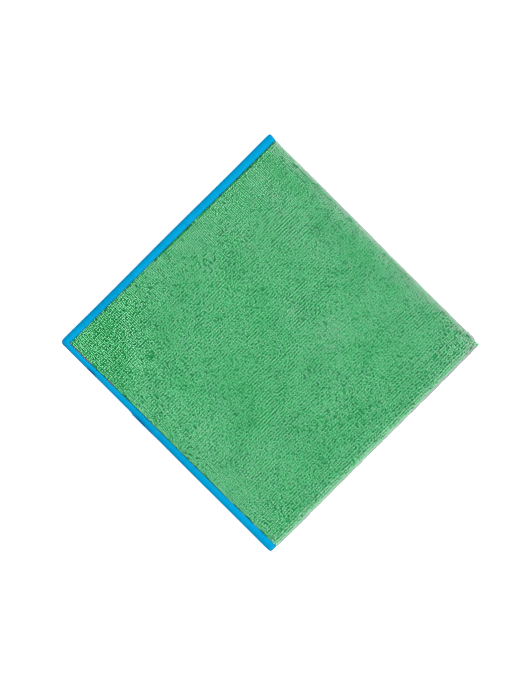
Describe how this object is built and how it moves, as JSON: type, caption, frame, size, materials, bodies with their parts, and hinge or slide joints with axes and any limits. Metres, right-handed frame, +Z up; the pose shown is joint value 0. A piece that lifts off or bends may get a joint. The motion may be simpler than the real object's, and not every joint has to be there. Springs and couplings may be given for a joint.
{
  "type": "microfibre cloth",
  "caption": "Square looped microfibre cleaning cloth with an overlocked edge, folded in half and in half again, lying flat.",
  "frame": {"origin": "on the surface that the cloth lies on, under the middle of the folded square", "axes": "+Z up through the four layers; the loose bound edges are at -X and +Y, the first fold at +X and the second fold at -Y"},
  "size_m": [0.2014, 0.2029, 0.0122],
  "materials": {
    "green_loops": "soft looped microfibre pile, matt with a faint sheen",
    "blue_overlock": "dense overlock thread, smooth, slight sheen"
  },
  "bodies": {
    "root": {"cloth_panel": "green_loops", "edge_binding": "blue_overlock"}
  },
  "joints": []
}
